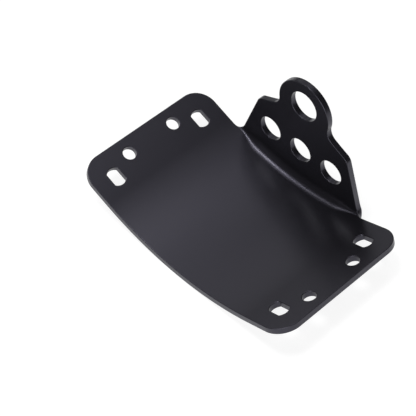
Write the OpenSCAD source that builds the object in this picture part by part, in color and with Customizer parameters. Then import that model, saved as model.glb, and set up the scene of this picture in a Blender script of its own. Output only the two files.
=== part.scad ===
// Side-mount license plate bracket: one sheet rolled into a shallow trough, with a lobed upright folded up
// from its back edge. X runs along the plate, the upright stands at the back (+Y), Z is up.
// The origin is under the middle of the whole bracket's box.

/* [Plate] */
// Length of the plate, measured along its curve
plate_len = 175.4; // [165:0.1:200]
// Width of the plate, front edge to back edge
plate_w = 101.5; // [90:0.5:120]
// Thickness of the sheet
sheet_t = 4; // [3:0.1:5]
// Radius of the trough's inner face
trough_r = 164.5; // [155:0.5:190]
// Rise of the straight ends, for each unit of their length
end_rise = 0.352; // [0.3:0.004:0.4]
// Radius of the plate's four corners
corner_r = 14; // [8:0.5:18]
// Rounding of the sheet's rims, round its outline and its holes
rim_r = 0.4; // [0.3:0.05:1.2]

/* [Plate holes] */
// Slot pitch along the plate's curve
slot_pitch_l = 140; // [138:0.5:144]
// Slot pitch across the plate
slot_pitch_w = 70; // [64:0.5:74]
// Diameter of a slot's round ends
slot_d = 12; // [10:0.1:14]
// Width of a slot between its two flats
slot_flat = 8.7; // [6.5:0.1:9.5]
// Round hole pitch along the plate's curve
hole_pitch_l = 154.8; // [150:0.2:157]
// Round hole pitch across the plate
hole_pitch_w = 36.2; // [30:0.2:40]
// Diameter of the round holes
hole_d = 8.5; // [6:0.1:10]

/* [Fold] */
// Inside radius of the fold between plate and upright
fold_r = 4; // [4:0.25:8]
// How far the upright's front face stands behind the plate's back edge
setback = 1.8; // [1:0.1:3]
// Radius in the notch where the upright's side meets the plate
notch_r = 4; // [2:0.1:4.5]

/* [Upright] */
// Width across the two shoulders, at their corners
shoulder_w = 71.6; // [66:0.2:76]
// Height of the shoulder corners above the trough's lowest line
shoulder_h = 43.7; // [41:0.1:47]
// Angle at which the upright's sides lean in
side_lean = 19; // [16:0.5:21]
// Angle at which the shoulders rise to the lobe
shoulder_rise = 25; // [20:0.5:30]
// Rounding of the shoulder corners
shoulder_r = 6; // [3:0.25:8]
// Rounding of the hollow between shoulder and lobe
neck_r = 7.7; // [5:0.1:10]
// Radius of the top lobe
lobe_r = 19.6; // [17:0.1:22]
// Height of the lobe's centre above the trough's lowest line
lobe_h = 60.3; // [58:0.1:64]
// Diameter of the large hole in the lobe
eye_d = 20; // [16:0.1:24]
// Height of the large hole above the trough's lowest line
eye_h = 62.6; // [59:0.1:64]
// Diameter of the three holes in a row
row_d = 16.6; // [14:0.1:19]
// Pitch of the three holes
row_pitch = 24.9; // [22:0.1:26]
// Height of the three holes above the trough's lowest line
row_h = 25; // [23:0.1:27]

/* [Hidden] */
$fn = 96;
trough_fn = 900;
coat = [0.09, 0.09, 0.1];
// How far tools reach past what they cut
over = 1;
// Arcs that run on from another face are larger by this, so that the faces cross and don't just touch
blend = 0.012;
rim_blend = 0.02;
// How far the fold's filling stays inside the plate's and the upright's faces
sunk = 0.02;
// How far a turned piece runs on past its end, as an angle
lap_a = 2;
// The two faces of the sheet
front = 0;
rear = 1;
end_a = asin(end_rise);
arc_half = trough_r * end_a * PI / 180;
flat_len = plate_len / 2 - arc_half;
tab_y = plate_w / 2 + setback;
fold_y = tab_y - fold_r;
mid_y = (tab_y + sheet_t - plate_w / 2) / 2;
axis_z = trough_r + sheet_t;
lean = [-sin(side_lean), cos(side_lean)];
rise = [-cos(shoulder_rise), sin(shoulder_rise)];
rise_n = [sin(shoulder_rise), cos(shoulder_rise)];
shoulder = [shoulder_w / 2, shoulder_h];
shoulder_a = acos(-lean * rise);
shoulder_reach = shoulder_r / tan(shoulder_a / 2);
shoulder_c = shoulder + unit(rise - lean) * shoulder_r / sin(shoulder_a / 2);
lobe = [0, lobe_h];
neck_0 = shoulder + rise_n * neck_r;
neck_b = (neck_0 - lobe) * rise;
neck_q = neck_b * neck_b - (neck_0 - lobe) * (neck_0 - lobe) + pow(lobe_r + neck_r, 2);
neck_c = neck_0 - rise * (neck_b + sqrt(neck_q));
neck_on_shoulder = neck_c - rise_n * neck_r;
neck_on_lobe = lobe + (neck_c - lobe) * lobe_r / (lobe_r + neck_r);
neck_a = atan2(neck_c[1] - lobe[1], neck_c[0] - lobe[0]);
side_top = shoulder - lean * shoulder_reach;
rise_low = shoulder + rise * shoulder_reach;
foot_h = -2 * sheet_t;
foot = shoulder + lean * (foot_h - shoulder_h) / lean[1];
side_0 = shoulder - [0, trough_r];
side_b = side_0 * lean;
root = on_side(trough_r);
side_low = on_side(trough_r - fold_r);
root_a = asin(root[0] / trough_r);
along = [cos(root_a), sin(root_a)];
notch_a = acos(lean * along);
notch_reach = notch_r / tan(notch_a / 2);
notch_c = root + unit(lean + along) * notch_r / sin(notch_a / 2);

function unit(v) = v / norm(v);
function flip(p) = [-p[0], p[1]];
// Where the upright's side line is at distance r from the trough's axis
function on_side(r) = shoulder - lean * (side_b + sqrt(side_b * side_b - side_0 * side_0 + r * r));

// Stands a flat outline up across the bracket, filling it from y0 back to y1
module across(y0, y1) {
    translate([0, y1, sheet_t])
        rotate([90, 0, 0])
            linear_extrude(height = y1 - y0)
                children();
}

// Turns a section (distance from the trough's axis, y) half round that axis, below it
module about_axis() {
    translate([0, 0, axis_z])
        rotate([-90, 0, 0])
            rotate_extrude(angle = 180, $fn = trough_fn)
                children();
}

// What lies within an angle of straight down, seen from the trough's axis, as an outline
module sector(a) {
    far = 2 * trough_r * [sin(a), -cos(a)] + [0, trough_r];
    polygon([[0, trough_r], flip(far), far]);
}

// Places a tool on the straight end at distance s along the curve, its z out of the inner face
module on_end(s, y) {
    reach = s - arc_half;
    x = trough_r * sin(end_a) + reach * cos(end_a);
    z = trough_r * (1 - cos(end_a)) + reach * sin(end_a);
    for (side = [0, 1])
        mirror([side, 0, 0])
            translate([x, y, z + sheet_t])
                rotate([0, -end_a, 0])
                    children();
}

// Places a tool on the upright, its z out of the front face
module on_upright() {
    translate([0, tab_y, sheet_t])
        rotate([90, 0, 0])
            children();
}

// What is taken off one rim of a sheet's edge, in section: the sheet lies at x < 0 and y from -sheet_t to 0
module rim(face) {
    translate([0, -face * sheet_t])
        mirror([0, face])
            translate([-rim_r, -rim_r])
                difference() {
                    square(rim_r + over);
                    circle(r = rim_r + rim_blend);
                }
}

module rims() {
    rim(front);
    rim(rear);
}

// A tool along a straight edge from p to q, the sheet on its left
module along_line(p, q) {
    translate(q)
        rotate([0, 0, atan2(q[1] - p[1], q[0] - p[0]) - 90])
            rotate([90, 0, 0])
                linear_extrude(height = norm(q - p))
                    children();
}

// The rims round an outward arc about c
module arc_rims(c, r, from_a, to_a) {
    translate(c)
        rotate([0, 0, from_a])
            rotate_extrude(angle = to_a - from_a)
                translate([r, 0])
                    rims();
}

// The rims round a hole or a hollow about c
module hole_rims(c, r) {
    translate(c)
        rotate_extrude()
            translate([r, 0])
                mirror([1, 0])
                    rims();
}

// A round hole with its rims
module hole_tool(c, d) {
    translate([c[0], c[1], -sheet_t - over])
        cylinder(d = d, h = sheet_t + 2 * over);
    hole_rims(c, d / 2);
}

// Section of the plate, its upper face at y = 0
module plate_section() {
    difference() {
        translate([-plate_w / 2, -sheet_t])
            square([plate_w, sheet_t]);
        for (side = [0, 1])
            mirror([side, 0])
                translate([plate_w / 2, 0])
                    rims();
    }
}

// The rolled middle of the plate, cut square to its curve where the straight ends begin
module rolled_middle() {
    intersection() {
        about_axis()
            translate([trough_r, 0])
                rotate(90)
                    plate_section();
        across(-plate_w, plate_w)
            sector(end_a);
    }
}

// Inside of the plate, which ties the middle to the straight ends
module plate_core() {
    intersection() {
        about_axis()
            translate([trough_r + rim_r, rim_r - plate_w / 2])
                square([sheet_t - 2 * rim_r, plate_w - 2 * rim_r]);
        across(-plate_w, plate_w)
            sector(end_a + lap_a);
    }
}

// The plate before its corners are rounded
module plate_strip() {
    rolled_middle();
    plate_core();
    on_end(arc_half, 0)
        rotate([90, 0, 90])
            linear_extrude(height = flat_len)
                plate_section();
}

// What is taken off to round one plate corner, in the straight end's own plane
module corner_waste() {
    translate([0, 0, -sheet_t - over])
        linear_extrude(height = sheet_t + 2 * over)
            difference() {
                square(corner_r + over);
                circle(r = corner_r + blend);
            }
    arc_rims([0, 0], corner_r + blend, 0, 90);
}

module plate() {
    edge = plate_w / 2 - corner_r;
    difference() {
        plate_strip();
        on_end(plate_len / 2, 0)
            along_line([0, -edge - over], [0, edge + over])
                rims();
        on_end(plate_len / 2 - corner_r, edge)
            corner_waste();
        on_end(plate_len / 2 - corner_r, -edge)
            mirror([0, 1, 0])
                corner_waste();
    }
}

// Outline of the upright, its sides carried down past the plate
module upright_outline() {
    difference() {
        union() {
            for (side = [0, 1])
                mirror([side, 0])
                    polygon([
                        foot, side_top, rise_low, neck_on_shoulder, neck_on_lobe,
                        [-over, neck_on_lobe[1]], [-over, foot_h]
                    ]);
            translate(lobe)
                circle(r = lobe_r);
            for (side = [0, 1])
                mirror([side, 0])
                    translate(shoulder_c)
                        circle(r = shoulder_r + blend);
        }
        for (side = [0, 1])
            mirror([side, 0])
                translate(neck_c)
                    circle(r = neck_r + blend);
    }
}

// The space between the upright's two side lines, as an outline
module between_sides() {
    polygon([foot, side_top, flip(side_top), flip(foot)]);
}

// Small web that rounds the notch between the upright's side and the plate
module notch_outline() {
    difference() {
        polygon([
            root + lean * notch_reach,
            root + lean * notch_reach - along * over,
            root - lean * over - along * over,
            root + along * notch_reach - lean * over,
            root + along * notch_reach
        ]);
        translate(notch_c)
            circle(r = notch_r + blend);
    }
}

// Section of the fold, hollowed to its inside radius
module fold_section() {
    difference() {
        union() {
            translate([trough_r + sunk, fold_y - 2 * over])
                square([sheet_t - 2 * sunk, 3 * over]);
            translate([trough_r - fold_r, fold_y])
                square([fold_r + sheet_t - sunk, fold_r + sheet_t - sunk]);
        }
        translate([trough_r - fold_r, fold_y])
            circle(r = fold_r + blend);
    }
}

// Section of what lies outside the fold's outer radius
module outside_section() {
    r = fold_r + sheet_t;
    translate([trough_r - fold_r, fold_y])
        difference() {
            square(r + 2 * over);
            circle(r = r + blend);
        }
}

// The upright's flat part, down to where the fold begins
module upright() {
    across(tab_y, tab_y + sheet_t)
        intersection() {
            upright_outline();
            translate([0, trough_r])
                circle(r = trough_r - fold_r + over, $fn = trough_fn);
        }
}

// What is taken off the upright's rims
module upright_rims() {
    on_upright() {
        arc_rims(lobe, lobe_r, neck_a, 180 - neck_a);
        for (side = [0, 1])
            mirror([side, 0, 0]) {
                along_line(side_low, side_top + lean * over)
                    rim(front);
                along_line(side_low - lean * over, side_top + lean * over)
                    rim(rear);
                arc_rims(shoulder_c, shoulder_r + blend, side_lean, 90 - shoulder_rise);
                along_line(rise_low - rise * over, neck_on_shoulder)
                    rims();
            }
    }
}

// What is taken off the rims of the hollows between shoulder and lobe
module neck_rims() {
    on_upright()
        for (side = [0, 1])
            mirror([side, 0, 0])
                hole_rims(neck_c, neck_r + blend);
}

// What is taken off the rims of the fold's two sides, behind the plate's back edge
module fold_rims() {
    for (side = [0, 1])
        mirror([side, 0, 0])
            intersection() {
                translate([side_low[0], fold_y, side_low[1] + sheet_t])
                    rotate([0, 90 - side_lean, 0]) {
                        rotate([0, 0, -lap_a])
                            rotate_extrude(angle = 90 + 2 * lap_a)
                                translate([fold_r + blend, 0])
                                    rotate(90)
                                        rim(front);
                        rotate_extrude(angle = 90)
                            translate([fold_r + blend, 0])
                                rotate(90)
                                    rim(rear);
                    }
                translate([0, plate_w / 2, 0])
                    cube([plate_w, fold_r + 2 * sheet_t, 2 * shoulder_h]);
            }
}

module fold() {
    intersection() {
        about_axis()
            fold_section();
        across(fold_y - 3 * over, tab_y + sheet_t + over)
            between_sides();
    }
    intersection() {
        about_axis()
            fold_section();
        for (side = [0, 1])
            mirror([side, 0, 0])
                across(fold_y - over, plate_w / 2)
                    notch_outline();
    }
}

// Rounds the back of the fold off
module fold_outside() {
    intersection() {
        about_axis()
            outside_section();
        across(fold_y - over, tab_y + sheet_t + 3 * over)
            between_sides();
    }
}

// A short slot with its rims: a flared round hole, kept between two flared flats
module slot_tool() {
    intersection() {
        hole_tool([0, 0], slot_d);
        rotate([90, 0, 90])
            linear_extrude(height = 2 * slot_d, center = true)
                for (side = [0, 1])
                    mirror([side, 0]) {
                        translate([-over, -sheet_t - over])
                            square([slot_flat / 2 + over, sheet_t + 2 * over]);
                        translate([slot_flat / 2, 0])
                            mirror([1, 0])
                                rims();
                    }
    }
}

module plate_holes() {
    for (y = [-1, 1]) {
        on_end(slot_pitch_l / 2, y * slot_pitch_w / 2)
            slot_tool();
        on_end(hole_pitch_l / 2, y * hole_pitch_w / 2)
            hole_tool([0, 0], hole_d);
    }
}

module upright_holes() {
    on_upright() {
        hole_tool([0, eye_h], eye_d);
        for (i = [-1:1])
            hole_tool([i * row_pitch, row_h], row_d);
    }
}

module bracket() {
    color(coat)
        translate([0, -mid_y, 0])
            difference() {
                difference() {
                    union() {
                        plate();
                        fold();
                        upright();
                    }
                    fold_outside();
                    upright_rims();
                    fold_rims();
                    plate_holes();
                    upright_holes();
                }
                neck_rims();
            }
}

bracket();
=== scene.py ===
"""A black-coated license plate bracket: a cut blank, rolled into a trough, with its upright folded up."""

import math

import bmesh
import bpy
from mathutils import Matrix, Vector


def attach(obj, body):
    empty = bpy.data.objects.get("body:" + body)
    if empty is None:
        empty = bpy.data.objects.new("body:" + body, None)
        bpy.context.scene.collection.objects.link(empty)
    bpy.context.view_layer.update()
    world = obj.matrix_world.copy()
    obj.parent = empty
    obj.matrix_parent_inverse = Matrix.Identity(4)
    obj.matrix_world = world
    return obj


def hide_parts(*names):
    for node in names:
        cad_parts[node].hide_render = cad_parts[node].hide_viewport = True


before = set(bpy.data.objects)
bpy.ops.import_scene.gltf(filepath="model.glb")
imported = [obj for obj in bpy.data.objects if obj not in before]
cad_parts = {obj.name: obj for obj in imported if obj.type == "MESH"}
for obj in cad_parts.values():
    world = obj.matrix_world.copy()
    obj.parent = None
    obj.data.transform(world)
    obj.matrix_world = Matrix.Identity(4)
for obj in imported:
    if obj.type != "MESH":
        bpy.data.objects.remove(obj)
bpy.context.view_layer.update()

# Sizes in millimetres
MM = 0.001
PLATE_LEN = 175.4
PLATE_W = 101.5
SHEET_T = 4.0
TROUGH_R = 164.5
END_RISE = 0.352
CORNER_R = 14.0
RIM_R = 0.4

SLOT_PITCH_L, SLOT_PITCH_W = 140.0, 70.0
SLOT_D, SLOT_FLAT, SLOT_CORNER_R = 12.0, 8.7, 0.7
HOLE_PITCH_L, HOLE_PITCH_W, HOLE_D = 154.8, 36.2, 8.5

# The fold's inside radius in the middle, and how far to each side it stays so
FOLD_R, FOLD_EVEN = 6.0, 32.0
# How far the upright stands behind the plate's back edge, which is also the fold's radius at the upright's sides
SETBACK = 1.8
# How far the notch beside the upright reaches outward
NOTCH_OUT = 5.5

SHOULDER_W, SHOULDER_H, SHOULDER_R = 71.6, 43.7, 6.0
SIDE_LEAN = math.radians(19.0)
SHOULDER_RISE = math.radians(25.0)
NECK_R = 7.7
LOBE_R, LOBE_H = 19.6, 60.3
EYE_D, EYE_H = 20.0, 62.6
ROW_D, ROW_PITCH, ROW_H = 16.6, 24.9, 25.0

# How finely curves are cut
ARC_STEP = math.radians(4.0)
RIM_STEPS = 5
ROLL_STEP = 3.0
FOLD_STEPS = 24
ON_LINE = 1e-5
LEAST_MITRE = 0.5
NORMAL_STEP = 0.01

# Values that follow from the sizes
END_A = math.asin(END_RISE)
ARC_HALF = TROUGH_R * END_A
TAB_Y = PLATE_W / 2 + SETBACK
FOLD_Y = TAB_Y - FOLD_R
FOLD_LEN = (FOLD_R + SHEET_T / 2) * math.pi / 2
MID_Y = (TAB_Y + SHEET_T - PLATE_W / 2) / 2
INNER_R = TROUGH_R - FOLD_R


# The cut blank's outline

def arc(centre, radius, start, end):
    """Points along an arc, both ends included, angles in radians."""
    count = max(2, math.ceil(abs(end - start) / ARC_STEP))
    angles = [start + (end - start) * i / count for i in range(count + 1)]
    return [Vector((centre[0] + radius * math.cos(a), centre[1] + radius * math.sin(a))) for a in angles]


def upright_half():
    """Right half of the upright's outline as it stands, from its side up to the top of the lobe."""
    lean = Vector((-math.sin(SIDE_LEAN), math.cos(SIDE_LEAN)))
    rise = Vector((-math.cos(SHOULDER_RISE), math.sin(SHOULDER_RISE)))
    over = Vector((math.sin(SHOULDER_RISE), math.cos(SHOULDER_RISE)))
    shoulder = Vector((SHOULDER_W / 2, SHOULDER_H))
    opening = math.acos(-lean.dot(rise))
    centre = shoulder + (rise - lean).normalized() * SHOULDER_R / math.sin(opening / 2)
    lobe = Vector((0.0, LOBE_H))
    neck_start = shoulder + over * NECK_R
    off = neck_start - lobe
    along = off.dot(rise)
    reach = -along - math.sqrt(along ** 2 - off.length_squared + (LOBE_R + NECK_R) ** 2)
    neck = neck_start + rise * reach
    meet = math.atan2(neck.y - lobe.y, neck.x - lobe.x)
    side_low = side_foot(shoulder, lean)
    return (
        [side_low]
        + arc(centre, SHOULDER_R, SIDE_LEAN, math.pi / 2 - SHOULDER_RISE)
        + arc(neck, NECK_R, -math.pi / 2 - SHOULDER_RISE, meet - math.pi)
        + arc(lobe, LOBE_R, meet, math.pi / 2)
    )


def side_foot(shoulder, lean):
    """Where the upright's side line reaches the top of the fold."""
    off = shoulder - Vector((0.0, TROUGH_R))
    along = off.dot(lean)
    return shoulder + lean * (-along - math.sqrt(along ** 2 - off.length_squared + INNER_R ** 2))


def upright_to_blank(p):
    """A point of the standing upright (x, height above the trough) laid out on the flat blank."""
    u = TROUGH_R * math.asin(p.x / INNER_R)
    v = FOLD_Y + FOLD_LEN + p.y - TROUGH_R + math.sqrt(INNER_R ** 2 - p.x ** 2)
    return Vector((u, v))


def mirrored(points):
    return [Vector((-p.x, p.y)) for p in reversed(points)]


def blank_outline():
    """The whole blank, counter-clockwise, from the middle of its front edge."""
    half_l, half_w = PLATE_LEN / 2, PLATE_W / 2
    side = [upright_to_blank(p) for p in upright_half()]
    foot = side[0]
    notch = [
        Vector((foot.x + NOTCH_OUT * (1 + p.x), foot.y + (foot.y - half_w) * p.y))
        for p in arc((0, 0), 1, -math.pi / 2, -math.pi)
    ]
    right = (
        arc((half_l - CORNER_R, CORNER_R - half_w), CORNER_R, -math.pi / 2, 0)
        + arc((half_l - CORNER_R, half_w - CORNER_R), CORNER_R, 0, math.pi / 2)
        + notch
        + side[1:]
    )
    return right + mirrored(right)[1:]


def ring(centre, diameter):
    """A round hole, clockwise."""
    return arc(centre, diameter / 2, 2 * math.pi, 0)[:-1]


def slot(centre):
    """A short slot: round ends cut by two flats, its four corners eased, clockwise."""
    r, half = SLOT_D / 2, SLOT_FLAT / 2
    c = SLOT_CORNER_R
    dy = half - c
    dx = math.sqrt((r - c) ** 2 - dy ** 2)
    meet = math.atan2(dy, dx)
    corner = arc((dx, dy), c, meet, math.pi / 2)
    quarter = arc((0, 0), r, 0, meet)[:-1] + corner
    top = quarter + mirrored(quarter)
    whole = top[:-1] + [-p for p in top[:-1]]
    return [p + Vector(centre) for p in reversed(whole)]


def blank_loops():
    """The outline first, then every hole."""
    loops = [blank_outline()]
    for side in (-1, 1):
        for row in (-1, 1):
            loops.append(slot((side * SLOT_PITCH_L / 2, row * SLOT_PITCH_W / 2)))
            loops.append(ring((side * HOLE_PITCH_L / 2, row * HOLE_PITCH_W / 2), HOLE_D))
    for x, height, diameter in [(0, EYE_H, EYE_D)] + [(i * ROW_PITCH, ROW_H, ROW_D) for i in (-1, 0, 1)]:
        loops.append([upright_to_blank(p) for p in ring((x, height), diameter)])
    return loops


# The blank as a mesh with rounded rims

def outward(loop):
    """For each point of a loop, the unit direction out of the sheet and the mitre's stretch."""
    result = []
    for i, p in enumerate(loop):
        before = (p - loop[i - 1]).normalized()
        after = (loop[(i + 1) % len(loop)] - p).normalized()
        n = Vector((before.y + after.y, -before.x - after.x)).normalized()
        result.append((n, 1 / max(LEAST_MITRE, n.dot(Vector((after.y, -after.x))))))
    return result


def rim_profile():
    """Steps round the sheet's edge from its upper to its lower face: inset, depth and slope."""
    turns = [math.pi / 2 * (1 - i / RIM_STEPS) for i in range(RIM_STEPS + 1)]
    upper = [(RIM_R * (1 - math.cos(a)), RIM_R * (1 - math.sin(a)), a) for a in turns]
    lower = [(inset, SHEET_T - depth, -a) for inset, depth, a in reversed(upper)]
    return upper + lower


def edge_rings(bm, layer, loop):
    """Rows of vertices round one edge of the sheet, joined by faces; the first and last rows come back."""
    rows = []
    directions = outward(loop)
    for inset, depth, slope in rim_profile():
        row = []
        for p, (n, stretch) in zip(loop, directions):
            q = p - n * inset * stretch
            vert = bm.verts.new((q.x, q.y, -depth))
            vert[layer] = (n.x * math.cos(slope), n.y * math.cos(slope), math.sin(slope))
            row.append(vert)
        rows.append(row)
    for upper, lower in zip(rows, rows[1:]):
        for i in range(len(loop)):
            j = (i + 1) % len(loop)
            bm.faces.new((upper[i], lower[i], lower[j], upper[j]))
    return rows[0], rows[-1]


def fill_between(bm, rows):
    """Closes one face of the sheet between all its rows of rim vertices."""
    edges = [bm.edges.get((row[i - 1], row[i])) for row in rows for i in range(len(row))]
    bmesh.ops.triangle_fill(bm, use_beauty=True, use_dissolve=False, edges=edges)


def cut_for_bending(bm):
    """Cuts the blank along the lines where it will be rolled and folded."""
    rolls = math.ceil(2 * ARC_HALF / ROLL_STEP)
    along, across = Vector((1, 0, 0)), Vector((0, 1, 0))
    lines = [(Vector((-ARC_HALF + 2 * ARC_HALF * i / rolls, 0, 0)), along) for i in range(rolls + 1)]
    lines += [(Vector((0, FOLD_Y + FOLD_LEN * i / FOLD_STEPS, 0)), across) for i in range(FOLD_STEPS + 1)]
    for place_co, place_no in lines:
        geometry = bm.verts[:] + bm.edges[:] + bm.faces[:]
        bmesh.ops.bisect_plane(bm, geom=geometry, dist=ON_LINE, plane_co=place_co, plane_no=place_no)


def smooth_step(x):
    x = min(1.0, max(0.0, x))
    return x * x * (3 - 2 * x)


def fold_radius(u):
    """Inside radius of the fold: even across the middle, tighter toward the upright's sides."""
    return FOLD_R + (SETBACK - FOLD_R) * smooth_step((abs(u) - FOLD_EVEN) / (UPRIGHT_HALF - FOLD_EVEN))


def fold_path(u, v, depth):
    """How far back and how far up the fold takes a point, from the plate's face and the fold's start."""
    r = fold_radius(u)
    bend = (r + SHEET_T / 2) * math.pi / 2
    lead = FOLD_R - r
    way, edge = v - FOLD_Y, PLATE_W / 2 - FOLD_Y
    if way > edge:
        way = edge + (way - edge) * (2 * lead + bend - edge) / (FOLD_LEN - edge)
    turn = math.pi / 2 * min(1.0, max(0.0, (way - lead) / bend))
    back = min(way, lead) + (r + depth) * math.sin(turn)
    up = r - (r + depth) * math.cos(turn) + min(lead, max(0.0, way - lead - bend))
    return back, up


def formed(p):
    """Where a point of the flat blank ends up: rolled about the trough's axis, and folded at the back."""
    u, v, depth = p.x, p.y, -p.z
    on_arc = min(ARC_HALF, max(-ARC_HALF, u))
    a = on_arc / TROUGH_R
    base = Vector((
        TROUGH_R * math.sin(a) + (u - on_arc) * math.cos(a),
        0,
        TROUGH_R * (1 - math.cos(a)) + (u - on_arc) * math.sin(a),
    ))
    out = Vector((-math.sin(a), 0, math.cos(a)))
    if v <= FOLD_Y:
        return base - out * depth + Vector((0, v, 0))
    back, up = fold_path(u, min(v, FOLD_Y + FOLD_LEN), depth)
    return base + out * up + Vector((0, FOLD_Y + back, max(0.0, v - FOLD_Y - FOLD_LEN)))


UPRIGHT_HALF = max(abs(upright_to_blank(p).x) for p in upright_half())


def formed_normal(p, n):
    """The blank's surface direction at a point, carried through the forming."""
    axes = [Vector((NORMAL_STEP, 0, 0)), Vector((0, NORMAL_STEP, 0)), Vector((0, 0, NORMAL_STEP))]
    du, dv, dw = [(formed(p + a) - formed(p - a)) / (2 * NORMAL_STEP) for a in axes]
    return (dv.cross(dw) * n.x + dw.cross(du) * n.y + du.cross(dv) * n.z).normalized()


def make_sheet():
    """The bracket as one formed sheet with exact surface directions."""
    bm = bmesh.new()
    layer = bm.verts.layers.float_vector.new("blank_normal")
    rims = [edge_rings(bm, layer, loop) for loop in blank_loops()]
    fill_between(bm, [upper for upper, _ in rims])
    fill_between(bm, [lower for _, lower in rims])
    cut_for_bending(bm)
    bmesh.ops.recalc_face_normals(bm, faces=bm.faces)
    normals = []
    places = []
    for vert in bm.verts:
        normals.append(formed_normal(vert.co, vert[layer]))
        places.append((formed(vert.co) + Vector((0, -MID_Y, SHEET_T))) * MM)
    for vert, place in zip(bm.verts, places):
        vert.co = place
    bm.verts.layers.float_vector.remove(layer)
    mesh = bpy.data.meshes.new("bracket_sheet")
    bm.to_mesh(mesh)
    bm.free()
    mesh.polygons.foreach_set("use_smooth", [True] * len(mesh.polygons))
    mesh.normals_split_custom_set_from_vertices(normals)
    piece = bpy.data.objects.new("bracket_sheet", mesh)
    bpy.context.scene.collection.objects.link(piece)
    return piece


# Shader maths

class Value:
    """A socket's output that can be used in Python expressions."""

    def __init__(self, tree, socket):
        self.tree = tree
        self.socket = socket

    def math(self, operation, *others):
        return self.node("ShaderNodeMath", {"operation": operation}, [self, *others])

    def node(self, kind, settings, inputs, output=0):
        """Any other node: its type, its settings, and values or links for its sockets by name or place."""
        made = self.tree.nodes.new(kind)
        for key, value in settings.items():
            setattr(made, key, value)
        pairs = inputs.items() if isinstance(inputs, dict) else enumerate(inputs)
        for key, value in pairs:
            if isinstance(value, Value):
                self.tree.links.new(value.socket, made.inputs[key])
            else:
                made.inputs[key].default_value = value
        return Value(self.tree, made.outputs[output])

    def __add__(self, other):
        return self.math("ADD", other)

    def __mul__(self, other):
        return self.math("MULTIPLY", other)

    __radd__ = __add__
    __rmul__ = __mul__


def noise(places, scale, detail):
    return places.node("ShaderNodeTexNoise", {}, {"Vector": places, "Scale": scale, "Detail": detail})


# Finishes
COAT_DARK, COAT_PALE = (0.005, 0.0048, 0.0058, 1), (0.007, 0.0068, 0.0081, 1)
CLOUD_SCALE, CLOUD_DETAIL = 45.0, 2.0
PEEL_SCALE, PEEL_DETAIL = 900.0, 1.0
PEEL_STRENGTH, PEEL_DEPTH = 0.12, 0.00004
COAT_FINISH = {
    "IOR": 1.5,
    "Specular IOR Level": 0.6,
    "Coat Weight": 0.1,
    "Coat Roughness": 0.17,
    "Specular Tint": (0.8, 0.77, 1.0, 1),
}
FLOOR_FINISH = {
    "Base Color": (0.25, 0.25, 0.25, 1),
    "Roughness": 0.9,
    "Emission Color": (1, 1, 1, 1),
    "Emission Strength": 0.86,
}


def new_material(name, finish):
    """A material with its even values set, and its shader."""
    material = bpy.data.materials.new(name)
    material.use_nodes = True
    shader = material.node_tree.nodes["Principled BSDF"]
    for socket, value in finish.items():
        shader.inputs[socket].default_value = value
    return material, shader


def coat_material():
    """Satin black powder coat: near black, faintly mottled, with a fine orange-peel skin."""
    material, shader = new_material("satin_black_coat", COAT_FINISH)
    tree = material.node_tree
    places = Value(tree, tree.nodes.new("ShaderNodeTexCoord").outputs["Object"])
    cloud = noise(places, CLOUD_SCALE, CLOUD_DETAIL)
    peel = noise(places, PEEL_SCALE, PEEL_DETAIL)
    tint = places.node(
        "ShaderNodeMix",
        {"data_type": "RGBA"},
        {"Factor": cloud, "A": COAT_DARK, "B": COAT_PALE},
        output="Result",
    )
    roughness = 0.31 + 0.05 * cloud + 0.03 * peel
    skin = {"Strength": PEEL_STRENGTH, "Distance": PEEL_DEPTH, "Height": peel}
    bump = places.node("ShaderNodeBump", {}, skin)
    tree.links.new(tint.socket, shader.inputs["Base Color"])
    tree.links.new(roughness.socket, shader.inputs["Roughness"])
    tree.links.new(bump.socket, shader.inputs["Normal"])
    return material


# Stage
LIGHT_DISTANCE = 1.6
FLOOR_HALF = 6.0


def toward(turn, tilt):
    """Unit direction from the bracket, turned from its front to its right and tilted up."""
    return Vector((math.sin(turn) * math.cos(tilt), -math.cos(turn) * math.cos(tilt), math.sin(tilt)))


def make_floor():
    corners = [(x * FLOOR_HALF, y * FLOOR_HALF, 0.0) for x, y in ((-1, -1), (1, -1), (1, 1), (-1, 1))]
    mesh = bpy.data.meshes.new("floor")
    mesh.from_pydata(corners, [], [(0, 1, 2, 3)])
    mesh.materials.append(new_material("pale_floor", FLOOR_FINISH)[0])
    floor = bpy.data.objects.new("floor", mesh)
    bpy.context.scene.collection.objects.link(floor)


def soft_light(name, turn, tilt, size, power):
    """A soft box that looks at the bracket from a direction, given in degrees."""
    light = bpy.data.lights.new(name, "AREA")
    light.shape = "RECTANGLE"
    light.size, light.size_y = size
    light.energy = power
    lamp = bpy.data.objects.new(name, light)
    back = toward(math.radians(turn), math.radians(tilt))
    lamp.location = back * LIGHT_DISTANCE
    lamp.rotation_mode = "QUATERNION"
    lamp.rotation_quaternion = back.to_track_quat("Z", "Y")
    bpy.context.scene.collection.objects.link(lamp)


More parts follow.
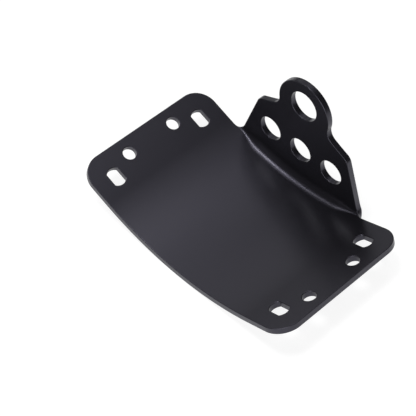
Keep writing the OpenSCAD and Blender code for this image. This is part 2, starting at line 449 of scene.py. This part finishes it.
def set_world(grey):
    world = bpy.data.worlds.new("studio")
    world.use_nodes = True
    world.node_tree.nodes["Background"].inputs["Color"].default_value = (grey, grey, grey, 1)
    bpy.context.scene.world = world


# Camera, as the photograph was taken
VIEW_TURN = math.radians(45.5)
VIEW_TILT = math.radians(49.85)
VIEW_ROLL = math.radians(0.53)
VIEW_DISTANCE = 868.33
VIEW_RIGHT, VIEW_UP = -17.45, 9.23
FOCAL_PIXELS = 1450.0
PHOTO_PIXELS = 416
SENSOR = 36.0


def make_camera():
    back = toward(VIEW_TURN, VIEW_TILT)
    level = Vector((math.cos(VIEW_TURN), math.sin(VIEW_TURN), 0))
    upward = back.cross(level)
    right = level * math.cos(VIEW_ROLL) + upward * math.sin(VIEW_ROLL)
    up = upward * math.cos(VIEW_ROLL) - level * math.sin(VIEW_ROLL)
    place = right * VIEW_RIGHT + up * VIEW_UP + back * VIEW_DISTANCE + Vector((0, -MID_Y, SHEET_T))
    camera = bpy.data.objects.new("camera", bpy.data.cameras.new("camera"))
    camera.data.sensor_width = SENSOR
    camera.data.lens = SENSOR * FOCAL_PIXELS / PHOTO_PIXELS
    turn = Matrix((right, up, back)).transposed().to_4x4()
    camera.matrix_world = Matrix.Translation(place * MM) @ turn
    bpy.context.scene.collection.objects.link(camera)
    bpy.context.scene.camera = camera


make_camera()
sheet = make_sheet()
sheet.data.materials.append(coat_material())
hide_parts("bracket")
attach(sheet, "root")

make_floor()
set_world(0.04)
soft_light("back_left_top", turn=226, tilt=60, size=(0.9, 0.8), power=2.2)
soft_light("back_top", turn=196, tilt=72, size=(0.6, 0.6), power=1.3)
soft_light("back_left_low", turn=245, tilt=33, size=(0.8, 0.75), power=1.6)
soft_light("key", turn=-45, tilt=74, size=(0.4, 0.4), power=8.5)
soft_light("top", turn=250, tilt=84, size=(0.4, 0.4), power=0.9)
soft_light("key_left", turn=-75, tilt=54, size=(0.3, 0.5), power=1.7)
soft_light("front_fill", turn=35, tilt=18, size=(2.0, 1.0), power=21.0)
bpy.context.scene.view_settings.view_transform = "Standard"
